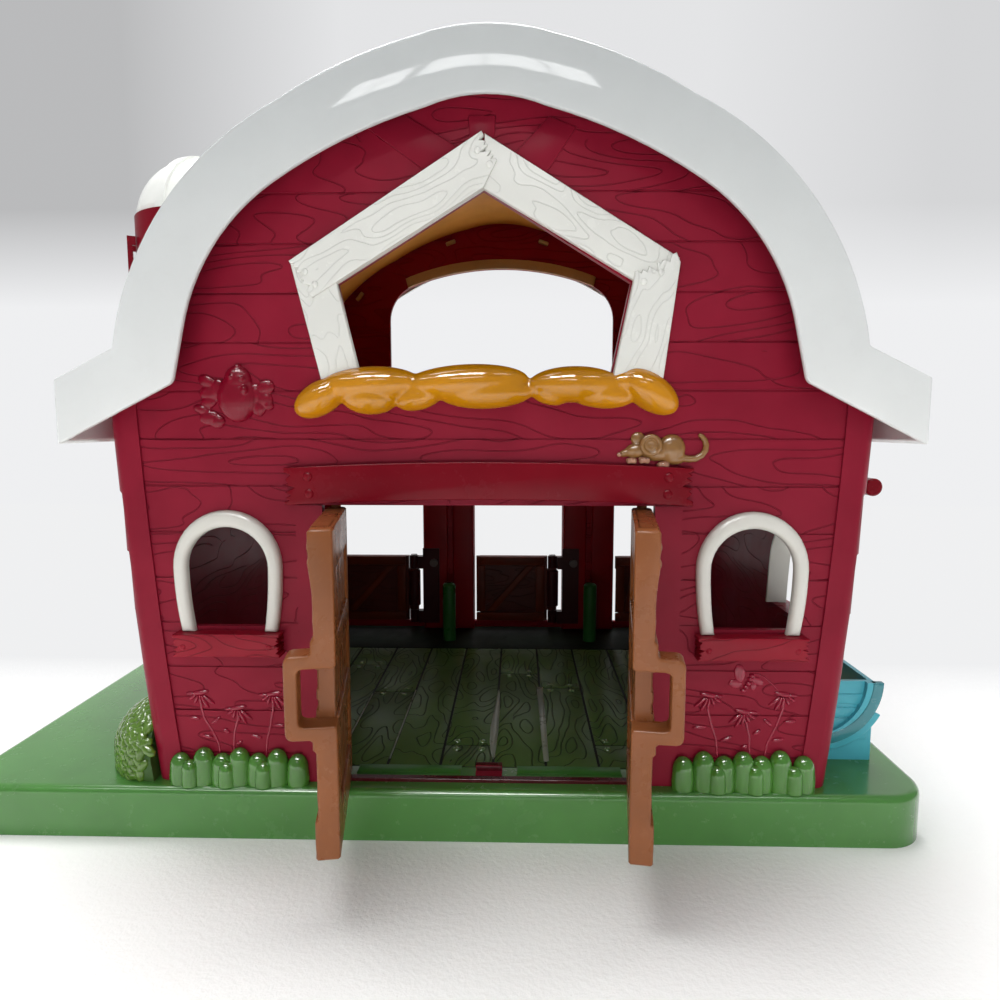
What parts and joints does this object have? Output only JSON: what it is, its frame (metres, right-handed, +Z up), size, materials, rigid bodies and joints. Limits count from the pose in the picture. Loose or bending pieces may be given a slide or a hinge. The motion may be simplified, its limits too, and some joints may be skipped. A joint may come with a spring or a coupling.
{
  "type": "toy barn with opening doors",
  "caption": "Toy barn with a white bell-shaped roof, red board walls, two swinging front doors, half-height stall gates, a silo, a trough and a green base.",
  "frame": {"origin": "on the face the base rests on, under the barn's centre line and the middle of the base's depth", "axes": "+Z up, -Y towards the front doors, +X to the right when seen from the front"},
  "size_m": [0.408, 0.3051, 0.323],
  "materials": {
    "barn_red": "satin moulded plastic with fine engraved wood grain",
    "trim_red": "semi-gloss moulded plastic",
    "bird_red": "semi-gloss moulded plastic",
    "silo_red": "semi-gloss moulded plastic",
    "roof_white": "glossy moulded plastic",
    "trim_white": "semi-gloss moulded plastic with fine engraved wood grain",
    "base_green": "glossy moulded plastic",
    "underside_green": "matt moulded plastic",
    "screw_steel": "plated steel",
    "loft_tan": "satin moulded plastic",
    "hay_gold": "glossy painted plastic",
    "mouse_brown": "semi-gloss painted plastic",
    "bracket_dark": "matt moulded plastic",
    "gate_brown": "satin moulded plastic",
    "door_brown": "satin moulded plastic",
    "trough_blue": "semi-gloss moulded plastic",
    "feed_gold": "matt moulded plastic",
    "bush_green": "glossy moulded plastic",
    "leaf_green": "glossy moulded plastic"
  },
  "bodies": {
    "barn": {"base_cover": "base_green", "base_plate": "underside_green", "base_screws": "screw_steel", "front_wall": "barn_red", "back_wall": "barn_red", "left_side_wall": "barn_red", "right_side_wall": "barn_red", "roof_shell": "roof_white", "loft_floor": "loft_tan", "loft_window_frame": "trim_white", "hay_rope": "hay_gold", "left_window_frame": "trim_white", "right_window_frame": "trim_white", "side_window_frame": "trim_white", "left_window_ledge": "trim_red", "right_window_ledge": "trim_red", "side_window_ledge": "trim_red", "side_awning": "trim_red", "lintel_board": "trim_red", "bird": "bird_red", "mouse": "mouse_brown", "left_gate_bracket": "bracket_dark", "middle_gate_bracket": "bracket_dark", "right_gate_bracket": "bracket_dark", "gate_pins": "screw_steel", "bracket_screws": "screw_steel", "stall_posts": "base_green", "silo_body": "silo_red", "silo_dome": "roof_white", "silo_ladder": "silo_red", "trough": "trough_blue", "feed": "feed_gold", "left_bushes": "bush_green", "right_bushes": "bush_green", "leafy_bush": "leaf_green"},
    "left_door": {"left_door": "door_brown"},
    "right_door": {"right_door": "door_brown"},
    "left_gate": {"left_gate": "gate_brown"},
    "middle_gate": {"middle_gate": "gate_brown"},
    "right_gate": {"right_gate": "gate_brown"}
  },
  "joints": [
    {"name": "left_door_hinge", "type": "hinge", "parent": "barn", "child": "left_door", "pos_m": [-0.0624, -0.1127, 0.08], "axis": [0, 0, 1], "range_deg": [-14, 80.3]},
    {"name": "right_door_hinge", "type": "hinge", "parent": "barn", "child": "right_door", "pos_m": [0.0624, -0.1127, 0.08], "axis": [0, 0, 1], "range_deg": [-82, 13]},
    {"name": "left_gate_hinge", "type": "hinge", "parent": "barn", "child": "left_gate", "pos_m": [-0.064, 0.1102, 0.05], "axis": [0, 0, 1], "range_deg": [-85, 85]},
    {"name": "middle_gate_hinge", "type": "hinge", "parent": "barn", "child": "middle_gate", "pos_m": [0.0375, 0.1102, 0.05], "axis": [0, 0, 1], "range_deg": [-85, 85]},
    {"name": "right_gate_hinge", "type": "hinge", "parent": "barn", "child": "right_gate", "pos_m": [0.114, 0.1102, 0.05], "axis": [0, 0, 1], "range_deg": [-85, 85]}
  ]
}
